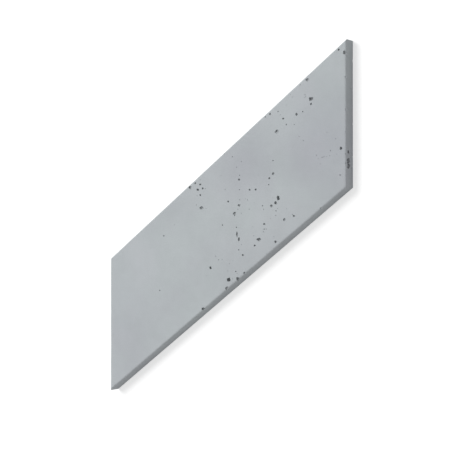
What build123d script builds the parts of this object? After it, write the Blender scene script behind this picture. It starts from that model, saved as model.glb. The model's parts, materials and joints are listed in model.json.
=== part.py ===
"""One cast concrete wall panel: a slanting four-sided slab that is laid in courses to make a chevron.

The panel lies on its back. X runs across the wall, Y up the wall along the upright ends,
and Z out of the wall through the cast face. The origin is the middle of the back.
"""

import os

from build123d import *

# Slab
run = 400.0  # across the wall, between the two upright ends
rise = 300.0  # how much higher the right end sits than the left one
end_height = 200.0  # length of each upright end
thickness = 20.0

# The mould rounds the arris, the edge all round the cast face, and leaves the four upright corners square
arris_radius = 2.5

# Air pores that the mix left open, each half a ball deep
large_pore = 5.6
middle_pore = 4.0
rim_pore = 5.0
end_void = 8.0
end_pore = 4.6

# Pores in the cast face: share of the way along the panel, share of the way up from its lower edge
large_pore_places = [
    (0.416, 0.750),
    (0.531, 0.063),
    (0.556, 0.496),
    (0.657, 0.162),
    (0.730, 0.804),
    (0.736, 0.331),
    (0.865, 0.814),
]
middle_pore_places = [
    (0.399, 0.908),
    (0.454, 0.261),
    (0.566, 0.334),
    (0.574, 0.288),
    (0.576, 0.525),
    (0.708, 0.321),
    (0.715, 0.534),
    (0.725, 0.044),
    (0.725, 0.315),
    (0.760, 0.146),
    (0.809, 0.798),
    (0.980, 0.294),
]

# Pores that broke out on the rim of the face and nicked its arris, placed in the same way
rim_pore_places = [
    (0.365, 0.977),
    (0.421, 0.013),
    (0.523, 0.013),
    (0.569, 0.013),
    (0.851, 0.967),
    (0.994, 0.917),
]

# Pores in the upright right end: share of the way up it, share of the thickness from the back
end_void_places = [(0.145, 0.68), (0.178, 0.68)]  # two that ran into one
end_pore_places = [(0.241, 0.68)]

# Corners of the slab, with the origin at its middle
overall_height = rise + end_height
left, right = -run / 2, run / 2
low, high = -overall_height / 2, overall_height / 2
corners = [(left, low), (right, low + rise), (right, high), (left, high - rise)]


def on_face(along, up):
    """The point of the cast face at these shares of the panel's run and of its end height."""
    return (left + run * along, low + rise * along + end_height * up, thickness)


def on_right_end(up, through):
    """The point of the right end at these shares of its height and of the thickness."""
    return (right, low + rise + end_height * up, thickness * through)


face_pores = [
    (large_pore, large_pore_places),
    (middle_pore, middle_pore_places),
    (rim_pore, rim_pore_places),
]
end_pores = [(end_void, end_void_places), (end_pore, end_pore_places)]

# The slab, cast in one piece
with BuildPart() as concrete_panel:
    with BuildSketch():
        with BuildLine():
            Polyline(*corners, close=True)
        make_face()
    extrude(amount=thickness)
    cast_face = concrete_panel.faces().sort_by(Axis.Z)[-1]
    fillet(cast_face.edges(), radius=arris_radius)
    for pore_diameter, places in face_pores:
        with Locations(*[on_face(*place) for place in places]):
            Sphere(radius=pore_diameter / 2, mode=Mode.SUBTRACT)
    for pore_diameter, places in end_pores:
        with Locations(*[on_right_end(*place) for place in places]):
            Sphere(radius=pore_diameter / 2, mode=Mode.SUBTRACT)

concrete_panel.part.label = "concrete_panel"
os.makedirs("parts", exist_ok=True)
export_step(concrete_panel.part, "parts/concrete_panel.step")
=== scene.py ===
"""The looks of one cast concrete wall panel, lying on its back on a pale floor.

Lengths are in metres. X runs across the wall, Y up the wall along the panel's upright ends,
and Z out of the wall through the cast face.
"""

import json
import math
import random

import bmesh
import bpy
from mathutils import Matrix, Vector, noise


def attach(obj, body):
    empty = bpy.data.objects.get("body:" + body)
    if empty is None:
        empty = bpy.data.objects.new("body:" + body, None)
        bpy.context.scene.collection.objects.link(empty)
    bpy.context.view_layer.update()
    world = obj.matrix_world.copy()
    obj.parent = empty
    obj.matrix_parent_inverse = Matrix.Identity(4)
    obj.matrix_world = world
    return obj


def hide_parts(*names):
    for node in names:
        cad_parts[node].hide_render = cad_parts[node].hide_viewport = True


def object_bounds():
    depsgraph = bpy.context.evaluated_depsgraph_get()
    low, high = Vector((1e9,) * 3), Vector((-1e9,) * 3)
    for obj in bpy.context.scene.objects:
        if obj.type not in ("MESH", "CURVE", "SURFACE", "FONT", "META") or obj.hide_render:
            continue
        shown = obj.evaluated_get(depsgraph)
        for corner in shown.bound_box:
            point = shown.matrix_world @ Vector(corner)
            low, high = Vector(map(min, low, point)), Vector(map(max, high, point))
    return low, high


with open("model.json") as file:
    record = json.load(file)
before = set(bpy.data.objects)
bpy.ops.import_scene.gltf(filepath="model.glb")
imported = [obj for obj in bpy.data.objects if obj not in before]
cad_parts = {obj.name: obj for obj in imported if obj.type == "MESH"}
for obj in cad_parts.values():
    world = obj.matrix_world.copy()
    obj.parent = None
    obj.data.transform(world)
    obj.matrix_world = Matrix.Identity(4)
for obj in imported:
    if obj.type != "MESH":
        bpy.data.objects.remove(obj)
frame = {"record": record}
cad_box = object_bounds()
scene = bpy.context.scene
scene.view_settings.view_transform = "Standard"


# The slab. One slanting four-sided piece of fine grey concrete, poured face down into a smooth mould.
# The mould rounds the arris, the edge all round the face, and stripping leaves it a little uneven.
# Its back, which is glued to the wall, was struck off by hand; its sides are plain, for tight joints.
mm = 0.001
mount_places = {mount["name"]: Vector(mount["pos_m"]) for mount in frame["record"]["mounts"]}
mount_axes = {mount["name"]: Vector(mount["axis"]) for mount in frame["record"]["mounts"]}
across = mount_places["right_end"] - mount_places["left_end"]
up_end = mount_places["upper_edge"] - mount_places["lower_edge"]
through = Vector((0.0, 0.0, cad_box[1].z))
face_outward = through.normalized()
lower_left = -(across + up_end) / 2
arris_radius = 2.5 * mm
arris_segments = 6
arris_cuts = 2  # in each edge of the grid that lies along the arris
arris_wear = 0.35 * mm  # how deep its unevenness goes
arris_wave = 14.0 * mm  # how far apart its hollows lie
strike_depth = 0.6 * mm  # how deep the waves in the back go
strike_waves = (70.0 * mm, 20.0 * mm)  # how long they are along the panel, and how wide
grid_span = 8.0 * mm
level = 0.999  # a face lies level where its normal has at least this much of Z
near = 1e-6  # lengths that differ by less are the same

slab = bmesh.new()
slab_shape = Matrix((across, up_end, through)).transposed().to_4x4()
bmesh.ops.create_cube(slab, size=1.0, matrix=Matrix.Translation(through / 2) @ slab_shape)
face_rim = [edge for edge in slab.edges if min(vert.co.z for vert in edge.verts) > through.z / 2]
bmesh.ops.bevel(
    slab,
    geom=face_rim,
    offset=arris_radius,
    offset_type="OFFSET",
    segments=arris_segments,
    profile=0.5,
    affect="EDGES",
    material=-1,
)

# Cuts across and along it, close enough for the waves of the back, and closer ones on the arris
for way, other in [(across, up_end), (up_end, across)]:
    cells = round(way.length / grid_span)
    for cell in range(1, cells):
        bmesh.ops.bisect_plane(
            slab,
            geom=slab.verts[:] + slab.edges[:] + slab.faces[:],
            dist=near,
            plane_co=lower_left + way * cell / cells,
            plane_no=other.cross(face_outward),
        )
arris_edges = [
    edge
    for edge in slab.edges
    if edge.calc_length() > grid_span / 2
    and min(vert.co.z for vert in edge.verts) > through.z - arris_radius - near
    and min(face.normal.z for face in edge.link_faces) < level
]
bmesh.ops.subdivide_edges(slab, edges=arris_edges, cuts=arris_cuts, use_grid_fill=True)

# Waves in the back, which leave its rim flat, and hollows that go deepest where the arris leans most
slab.normal_update()
for vert in slab.verts:
    if max(face.normal.z for face in vert.link_faces) < -level:
        along = vert.co.dot(across.normalized()) / strike_waves[0]
        aside = vert.co.dot(across.cross(face_outward).normalized()) / strike_waves[1]
        vert.co.z += strike_depth * abs(noise.noise(Vector((along, aside, 0.0))))
    elif vert.co.z > through.z / 2:
        lean = 2 * vert.normal.z * vert.normal.xy.length
        hollow = max(0.0, noise.noise(vert.co / arris_wave))
        vert.co -= vert.normal * arris_wear * lean * hollow

slab_mesh = bpy.data.meshes.new("concrete_slab")
slab.to_mesh(slab_mesh)
slab.free()
concrete_slab = bpy.data.objects.new("concrete_slab", slab_mesh)
scene.collection.objects.link(concrete_slab)


# The pores. Air bubbles that were caught against the mould and stayed open in the skin of the slab.
# Each is an uneven hollow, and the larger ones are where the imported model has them.
# A place on the face is a share of the way along the panel and of the way up from its lower edge.
large_pore = 5.6 * mm
large_pores = [  # each with how many times wider than high it is, and how deep next to half a ball
    (0.416, 0.750, 1.5, 0.6),
    (0.531, 0.063, 1.2, 1.4),
    (0.556, 0.496, 0.6, 0.5),
    (0.657, 0.162, 1.5, 0.9),
    (0.730, 0.804, 1.2, 0.6),
    (0.736, 0.331, 0.7, 1.5),
    (0.865, 0.814, 1.8, 1.0),
]
middle_pore = 4.0 * mm
middle_pores = [
    (0.399, 0.908, 1.3, 1.2),
    (0.454, 0.261, 0.9, 1.3),
    (0.566, 0.334, 0.5, 1.1),
    (0.574, 0.288, 0.5, 1.1),
    (0.576, 0.525, 1.4, 0.8),
    (0.708, 0.321, 0.8, 0.9),
    (0.715, 0.534, 0.9, 0.6),
    (0.725, 0.044, 1.1, 0.8),
    (0.725, 0.315, 0.8, 1.5),
    (0.760, 0.146, 1.0, 0.7),
    (0.809, 0.798, 1.2, 0.8),
    (0.980, 0.294, 0.9, 1.0),
]
rim_pore = 5.0 * mm
rim_pores = [
    (0.365, 0.977, 1.0, 0.7),
    (0.421, 0.013, 1.2, 1.0),
    (0.523, 0.013, 1.1, 0.7),
    (0.569, 0.013, 1.2, 1.0),
    (0.851, 0.967, 1.2, 0.6),
    (0.994, 0.917, 0.9, 0.8),
]
small_pore = 3.0 * mm
small_pore_places = [
    (0.388, 0.972),
    (0.410, 0.853),
    (0.410, 0.928),
    (0.420, 0.885),
    (0.529, 0.624),
    (0.576, 0.708),
    (0.591, 0.150),
    (0.597, 0.014),
    (0.619, 0.569),
    (0.640, 0.144),
    (0.644, 0.532),
    (0.679, 0.237),
    (0.700, 0.525),
    (0.703, 0.969),
    (0.756, 0.853),
    (0.798, 0.113),
    (0.865, 0.778),
    (0.972, 0.973),
]
faint_pore = 2.0 * mm
faint_pore_places = [
    (0.230, 0.423),
    (0.248, 0.800),
    (0.505, 0.491),
    (0.562, 0.076),
    (0.564, 0.387),
    (0.574, 0.212),
    (0.672, 0.376),
    (0.679, 0.201),
    (0.684, 0.980),
    (0.697, 0.485),
    (0.715, 0.625),
    (0.727, 0.256),
    (0.735, 0.935),
    (0.768, 0.792),
    (0.833, 0.777),
    (0.977, 0.118),
]
small_pore_widths = (0.7, 1.4)  # how many times wider than high the small and faint ones may be
# Pores of the right end: share of the way up it, share of the thickness from the back
end_void = 8.0 * mm
end_void_places = [(0.145, 0.68), (0.178, 0.68)]
end_pore = 4.6 * mm
end_pore_places = [(0.241, 0.68)]
# Pinholes gather in nests: middle of the nest on the face, how far it spreads, how many it holds
pinhole_sizes = (0.7 * mm, 1.5 * mm)
pinhole_nests = [
    ((0.22, 0.60), 100 * mm, 6),
    ((0.42, 0.90), 30 * mm, 9),
    ((0.54, 0.12), 45 * mm, 12),
    ((0.60, 0.60), 55 * mm, 14),
    ((0.68, 0.28), 50 * mm, 16),
    ((0.80, 0.85), 50 * mm, 14),
    ((0.94, 0.34), 35 * mm, 14),
]
# The four narrow sides: where each one starts at the back, and the way it runs
sides = {
    "left_end": (lower_left, up_end),
    "right_end": (lower_left + across, up_end),
    "lower_edge": (lower_left, across),
    "upper_edge": (lower_left + up_end, across),
}
hidden_sides = ("left_end", "upper_edge")  # from the photograph's camera
# Pores in them: shares of the side's length and of the thickness that they lie between
side_span = (0.05, 0.95)
side_pinholes = 12  # on each side
side_pinhole_depths = (0.15, 0.85)
side_pore_sizes = (1.8 * mm, 3.2 * mm)
side_pores = 5  # on each hidden side
side_pore_depths = (0.2, 0.8)
# Chips that handling knocked off the rim of the back and off the arris: share of the thickness, sizes
rim_chips = [(0.0, (1.0 * mm, 2.0 * mm)), (1.0, (2.6 * mm, 4.2 * mm))]
side_chips = 5  # of each kind on each side
chip_span = (0.02, 0.98)
# A pore's wall
pore_sink = 0.20  # how far the ball's middle lies under the skin, as a share of its size
pore_lumps = 0.45  # how uneven the wall is, as a share of the ball's radius
lump_count = 2.5  # waves of the unevenness across the ball
lump_fractal = (1.0, 2.0, 3)  # how fast its finer waves fade, how much finer each is, how many there are
lump_field = 50  # how far away in the noise a ball may take its lumps from
fine_ball, coarse_ball = 3, 2  # subdivisions of a ball that is larger than a small pore, and of the rest
pore_draws = random.Random(19)
# The skin is the slab's first material, and the lining of its pores, painted darker as shade, the second
skin_slot, shaded_lining_slot = 0, 1
sliver_width = 0.002 * mm  # what the cut leaves that is narrower than this is dissolved
flat = 0.9999  # a face lies in a side of the slab where their two normals agree this well
back_tilt = -0.5  # faces whose normal has less of Z than this belong to the back
sharp_angle = math.radians(40)


def on_face(along, up):
    """The point of the cast face at these shares of the panel's run and of its end height."""
    return lower_left + across * along + up_end * up + through


def on_side(side, along, deep):
    """The point of a narrow side at these shares of its length and of the thickness."""
    start, way = sides[side]
    return start + way * along + through * deep


def add_lump(voids, middle, size, stretch, slot):
    """Adds an uneven ball to the voids, whose wall takes the material of this slot."""
    lump_place = Vector([pore_draws.uniform(-lump_field, lump_field) for _ in range(3)])
    ball = bmesh.ops.create_icosphere(
        voids,
        subdivisions=fine_ball if size > small_pore else coarse_ball,
        radius=size / 2,
        matrix=Matrix.Translation(middle) @ stretch,
    )
    for vert in ball["verts"]:
        out = vert.co - middle
        vert.co += out * pore_lumps * noise.fractal(out / size * lump_count + lump_place, *lump_fractal)
    for face in {face for vert in ball["verts"] for face in vert.link_faces}:
        face.material_index = slot


def blow_pore(voids, mouth, outward, size, width=1.0, depth=1.0):
    """Adds one bubble to the voids: an uneven ball, sunk so far that its mouth has this size."""
    mouth_share = math.sqrt(1 - (2 * pore_sink) ** 2)
    middle = mouth - outward * size / mouth_share * pore_sink * depth
    stretch = Matrix.Diagonal((math.sqrt(width), 1 / math.sqrt(width), depth, 1.0))
    add_lump(voids, middle, size / mouth_share, stretch, shaded_lining_slot)


voids = bmesh.new()
for pore_size, pores in [(large_pore, large_pores), (middle_pore, middle_pores), (rim_pore, rim_pores)]:
    for along, up, width, depth in pores:
        blow_pore(voids, on_face(along, up), face_outward, pore_size, width, depth)
for pore_size, places in [(small_pore, small_pore_places), (faint_pore, faint_pore_places)]:
    for place in places:
        width = pore_draws.uniform(*small_pore_widths)
        blow_pore(voids, on_face(*place), face_outward, pore_size, width)
for pore_size, places in [(end_void, end_void_places), (end_pore, end_pore_places)]:
    for place in places:
        blow_pore(voids, on_side("right_end", *place), mount_axes["right_end"], pore_size)
for nest_middle, spread, count in pinhole_nests:
    for _ in range(count):
        stray = Vector((pore_draws.gauss(0, spread / 2), pore_draws.gauss(0, spread / 2), 0.0))
        blow_pore(voids, on_face(*nest_middle) + stray, face_outward, pore_draws.uniform(*pinhole_sizes))
for side in sides:
    for _ in range(side_pinholes):
        mouth = on_side(side, pore_draws.uniform(*side_span), pore_draws.uniform(*side_pinhole_depths))
        blow_pore(voids, mouth, mount_axes[side], pore_draws.uniform(*pinhole_sizes))
    for deep, chip_sizes in rim_chips:
        for _ in range(side_chips):
            edge_point = on_side(side, pore_draws.uniform(*chip_span), deep)
            add_lump(voids, edge_point, pore_draws.uniform(*chip_sizes), Matrix.Identity(4), skin_slot)
for side in hidden_sides:
    for _ in range(side_pores):
        mouth = on_side(side, pore_draws.uniform(*side_span), pore_draws.uniform(*side_pore_depths))
        blow_pore(voids, mouth, mount_axes[side], pore_draws.uniform(*side_pore_sizes))

void_mesh = bpy.data.meshes.new("pore_voids")
voids.to_mesh(void_mesh)
voids.free()
void_object = bpy.data.objects.new("pore_voids", void_mesh)
scene.collection.objects.link(void_object)

cast_skin = bpy.data.materials.new("cast_skin")
shaded_pore_lining = bpy.data.materials.new("shaded_pore_lining")
for mesh in (slab_mesh, void_mesh):
    mesh.materials.append(cast_skin)
    mesh.materials.append(shaded_pore_lining)

# The voids run into each other, so the cut has to allow for overlaps within them
opening = concrete_slab.modifiers.new("open_pores", "BOOLEAN")
opening.operation = "DIFFERENCE"
opening.solver = "EXACT"
opening.use_self = True
opening.object = void_object
opened = concrete_slab.evaluated_get(bpy.context.evaluated_depsgraph_get())
concrete_slab.data = bpy.data.meshes.new_from_object(opened)
concrete_slab.data.name = "concrete_slab"
concrete_slab.modifiers.clear()
bpy.data.objects.remove(void_object)

# What the cut left behind: slivers and points that only split an edge go, and all faces become triangles
finished = bmesh.new()
finished.from_mesh(concrete_slab.data)
bmesh.ops.dissolve_degenerate(finished, dist=sliver_width, edges=finished.edges[:])
split_points = [vert for vert in finished.verts if len(vert.link_edges) == 2]
bmesh.ops.dissolve_verts(finished, verts=split_points)
bmesh.ops.triangulate(finished, faces=finished.faces[:], quad_method="BEAUTY", ngon_method="BEAUTY")

# Shading: sharp round the mouths of the pores, along the mitres of the arris and at steep turns
flat_ways = [face_outward] + [mount_axes[side] for side in sides]
for face in finished.faces:
    face.smooth = max(face.normal.dot(way) for way in flat_ways) < flat
for edge in finished.edges:
    slots = {face.material_index for face in edge.link_faces}
    leaning = [face.normal for face in edge.link_faces if back_tilt < face.normal.z < flat]
    leans = {max(sides, key=lambda side: normal.dot(mount_axes[side])) for normal in leaning}
    mitred = slots == {skin_slot} and len(leans) > 1
    edge.smooth = len(slots) == 1 and not mitred and edge.calc_face_angle() < sharp_angle
finished.to_mesh(concrete_slab.data)
finished.free()


# The concrete. Matt grey cement paste with fine sand in it, softly clouded and mottled, that set darker
# and more lilac in a few patches. Inside the pores it is rougher, as no mould smoothed it, and painted
# darker there as the shade in the hollows.
pale_grey = (0.451, 0.481, 0.496, 1.0)
deep_grey = (0.411, 0.438, 0.454, 1.0)
# Tones of the pore walls, darker than the skin's: painted shade inside the pores
pale_shaded_lining = (0.430, 0.455, 0.468, 1.0)
deep_shaded_lining = (0.350, 0.368, 0.380, 1.0)
green_tint = (0.994, 1.002, 0.998, 1.0)
lilac_tint = (1.004, 0.997, 1.004, 1.0)
lilac_stain = (0.915, 0.895, 0.925, 1.0)
stain_patches = [  # place on the face, how far it fades out, how strong it is
    ((0.93, 0.40), 110 * mm, 1.0),
    ((0.61, 0.76), 75 * mm, 0.6),
    ((0.05, 0.50), 130 * mm, 0.5),
]
cloud_range = (0.32, 0.68)  # the part of the clouds' noise over which they go from pale to deep
tint_range = (0.38, 0.62)  # and from green to lilac
mottle_levels = (0.94, 1.06)
sand_levels = (0.78, 1.22)
paste_roughness = (0.78, 0.96)
paste_gloss = 0.3
skin_relief = 0.25 * mm
lining_relief = 0.4 * mm
relief_strength = 0.5


def feed(tree, socket, source):
    """Links the socket to another node's socket, or sets it to a plain value."""
    if isinstance(source, bpy.types.NodeSocket):
        tree.links.new(source, socket)
    else:
        socket.default_value = source


def add_noise(tree, place, **settings):
    """Adds a cloudy noise at this place, with these settings, and returns its value."""
    node = tree.nodes.new("ShaderNodeTexNoise")
    tree.links.new(place, node.inputs["Vector"])
    for name, setting in settings.items():
        node.inputs[name].default_value = setting
    return node.outputs["Fac"]


def map_range(tree, value, before=(0.0, 1.0), after=(0.0, 1.0), way="LINEAR"):
    """Adds a node that carries a value from one range over to another, and returns the result."""
    node = tree.nodes.new("ShaderNodeMapRange")
    node.interpolation_type = way
    tree.links.new(value, node.inputs["Value"])
    for name, limit in zip(("From Min", "From Max", "To Min", "To Max"), before + after):
        node.inputs[name].default_value = limit
    return node.outputs["Result"]


def add_math(tree, operation, first, second):
    """Adds a node that works out one value from two, and returns the result."""
    node = tree.nodes.new("ShaderNodeMath")
    node.operation = operation
    feed(tree, node.inputs[0], first)
    feed(tree, node.inputs[1], second)
    return node.outputs["Value"]


def mix_colours(tree, blend_type, share, first, second):
    """Adds a node that mixes two colours by this share, and returns the colour."""
    node = tree.nodes.new("ShaderNodeMix")
    node.data_type = "RGBA"
    node.blend_type = blend_type
    first_colour, second_colour = [socket for socket in node.inputs if socket.type == "RGBA"]
    feed(tree, node.inputs["Factor"], share)
    feed(tree, first_colour, first)
    feed(tree, second_colour, second)
    return next(socket for socket in node.outputs if socket.type == "RGBA")


cement = bpy.data.node_groups.new("cement_paste", "ShaderNodeTree")
cement.interface.new_socket("Pale", in_out="INPUT", socket_type="NodeSocketColor")
cement.interface.new_socket("Deep", in_out="INPUT", socket_type="NodeSocketColor")
cement.interface.new_socket("Color", in_out="OUTPUT", socket_type="NodeSocketColor")
cement.interface.new_socket("Roughness", in_out="OUTPUT", socket_type="NodeSocketFloat")
cement.interface.new_socket("Height", in_out="OUTPUT", socket_type="NodeSocketFloat")
given = cement.nodes.new("NodeGroupInput").outputs
wanted = cement.nodes.new("NodeGroupOutput").inputs
place = cement.nodes.new("ShaderNodeTexCoord").outputs["Object"]
clouds = add_noise(cement, place, Scale=9.0, Detail=3.0, Roughness=0.5, Distortion=0.4)
tint_clouds = add_noise(cement, place, Scale=15.0, Detail=2.0, Roughness=0.5)
mottle = add_noise(cement, place, Scale=75.0, Detail=5.0, Roughness=0.6)
sand = add_noise(cement, place, Scale=1100.0, Detail=3.0, Roughness=0.6)

stain = 0.0
for patch_middle, patch_reach, patch_strength in stain_patches:
    away = cement.nodes.new("ShaderNodeVectorMath")
    away.operation = "DISTANCE"
    away.inputs[1].default_value = on_face(*patch_middle)
    cement.links.new(place, away.inputs[0])
    fade = map_range(cement, away.outputs["Value"], (0.0, patch_reach), (patch_strength, 0.0), "SMOOTHSTEP")
    stain = add_math(cement, "MAXIMUM", fade, stain)

tone = mix_colours(cement, "MIX", map_range(cement, clouds, cloud_range), given["Pale"], given["Deep"])
tint = mix_colours(cement, "MIX", map_range(cement, tint_clouds, tint_range), green_tint, lilac_tint)
paste = mix_colours(cement, "MULTIPLY", 1.0, tone, tint)
paste = mix_colours(cement, "MULTIPLY", stain, paste, lilac_stain)
paste = mix_colours(cement, "MULTIPLY", 1.0, paste, map_range(cement, mottle, after=mottle_levels))
paste = mix_colours(cement, "MULTIPLY", 1.0, paste, map_range(cement, sand, after=sand_levels))
cement.links.new(paste, wanted["Color"])
cement.links.new(map_range(cement, mottle, after=paste_roughness), wanted["Roughness"])
cement.links.new(add_math(cement, "ADD", mottle, sand), wanted["Height"])


def finish_concrete(material, pale, deep, relief_depth):
    """Gives the material cement paste between these two tones, with relief of this depth."""
    material.use_nodes = True
    tree = material.node_tree
    shader = tree.nodes["Principled BSDF"]
    shader.inputs["Specular IOR Level"].default_value = paste_gloss
    group = tree.nodes.new("ShaderNodeGroup")
    group.node_tree = cement
    group.inputs["Pale"].default_value = pale
    group.inputs["Deep"].default_value = deep
    bump = tree.nodes.new("ShaderNodeBump")
    bump.inputs["Strength"].default_value = relief_strength
    bump.inputs["Distance"].default_value = relief_depth
    tree.links.new(group.outputs["Color"], shader.inputs["Base Color"])
    tree.links.new(group.outputs["Roughness"], shader.inputs["Roughness"])
    tree.links.new(group.outputs["Height"], bump.inputs["Height"])
    tree.links.new(bump.outputs["Normal"], shader.inputs["Normal"])


finish_concrete(cast_skin, pale_grey, deep_grey, skin_relief)
# The pore walls: rougher paste, with darker tones that paint the shade inside the pores
finish_concrete(shaded_pore_lining, pale_shaded_lining, deep_shaded_lining, lining_relief)

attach(concrete_slab, "root")
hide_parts("concrete_panel")


# The floor. A plain pale studio sheet that the panel lies on, white to the camera where nothing
# shades it, so that only the panel's own soft shadow shows on it.
floor_half = 6.0
floor_gap = 0.2 * mm
floor_paint = (0.65, 0.65, 0.65, 1.0)
floor_glow = (0.48, 1.0)  # beside the panel, where its shadow lies, and far from it
floor_glow_reach = (0.5, 2.0)

floor_mesh = bpy.data.meshes.new("floor")
sheet = bmesh.new()
bmesh.ops.create_grid(
    sheet,
    x_segments=1,
    y_segments=1,
    size=floor_half,
    matrix=Matrix.Translation((0, 0, -floor_gap)),
)
sheet.to_mesh(floor_mesh)
sheet.free()
floor = bpy.data.objects.new("floor", floor_mesh)
scene.collection.objects.link(floor)


def seen_directly(tree):
    """Adds a mask that is 1 for what the camera, a reflection or a clear surface shows."""
    rays = tree.nodes.new("ShaderNodeLightPath").outputs
    straight = add_math(tree, "MAXIMUM", rays["Is Camera Ray"], rays["Is Glossy Ray"])
    return add_math(tree, "MAXIMUM", straight, rays["Is Transmission Ray"])


floor_white = bpy.data.materials.new("floor_white")
floor_white.use_nodes = True
floor_tree = floor_white.node_tree
floor_tree.nodes.clear()
paint = floor_tree.nodes.new("ShaderNodeBsdfDiffuse")
paint.inputs["Color"].default_value = floor_paint
glow = floor_tree.nodes.new("ShaderNodeEmission")
floor_place = floor_tree.nodes.new("ShaderNodeTexCoord").outputs["Object"]
from_panel = floor_tree.nodes.new("ShaderNodeVectorMath")
from_panel.operation = "LENGTH"
both = floor_tree.nodes.new("ShaderNodeAddShader")
floor_output = floor_tree.nodes.new("ShaderNodeOutputMaterial")
floor_tree.links.new(floor_place, from_panel.inputs[0])
glow_level = map_range(floor_tree, from_panel.outputs["Value"], floor_glow_reach, floor_glow)
glow_strength = add_math(floor_tree, "MULTIPLY", glow_level, seen_directly(floor_tree))
floor_tree.links.new(glow_strength, glow.inputs["Strength"])
floor_tree.links.new(paint.outputs["BSDF"], both.inputs[0])
floor_tree.links.new(glow.outputs["Emission"], both.inputs[1])
floor_tree.links.new(both.outputs["Shader"], floor_output.inputs["Surface"])
floor_mesh.materials.append(floor_white)


# The light. A soft lamp above the panel's upper left that rakes across the face, and an even white
# surround that fills the shaded right end and lower edge.
key_place = Vector((-1.7, 1.4, 3.0))
key_width = 2.4
key_power = 89.0
fill_level = 0.53
surround_white = (1.0, 1.0, 1.0, 1.0)

key_lamp = bpy.data.lights.new("key_lamp", "AREA")
key_lamp.shape = "DISK"
key_lamp.size = key_width
key_lamp.energy = key_power
key = bpy.data.objects.new("key_lamp", key_lamp)
key.location = key_place
key.rotation_mode = "QUATERNION"
key.rotation_quaternion = (-key_place).to_track_quat("-Z", "Y")
scene.collection.objects.link(key)

surround = bpy.data.worlds.new("surround")
surround.use_nodes = True
surround_tree = surround.node_tree
backdrop = surround_tree.nodes["Background"]
backdrop.inputs["Color"].default_value = surround_white
backdrop_level = map_range(surround_tree, seen_directly(surround_tree), after=(fill_level, 1.0))
surround_tree.links.new(backdrop_level, backdrop.inputs["Strength"])
scene.world = surround


# The camera. It stands where the photograph's stood, off to the right of the panel and level with
# its middle, with the wall's upright as its own and a longer lens that fills the frame.
camera_place = Vector((0.968, -0.012, 1.526))
camera_aim = through / 2
camera_lens = 100.0
wall_upright = Vector((0.0, 1.0, 0.0))

camera_data = bpy.data.cameras.new("camera")
camera_data.lens = camera_lens
camera = bpy.data.objects.new("camera", camera_data)
forward = (camera_aim - camera_place).normalized()
rightward = forward.cross(wall_upright).normalized()
upward = rightward.cross(forward)
camera_turn = Matrix((rightward, upward, -forward)).transposed().to_4x4()
camera.matrix_world = Matrix.Translation(camera_place) @ camera_turn
scene.collection.objects.link(camera)
scene.camera = camera
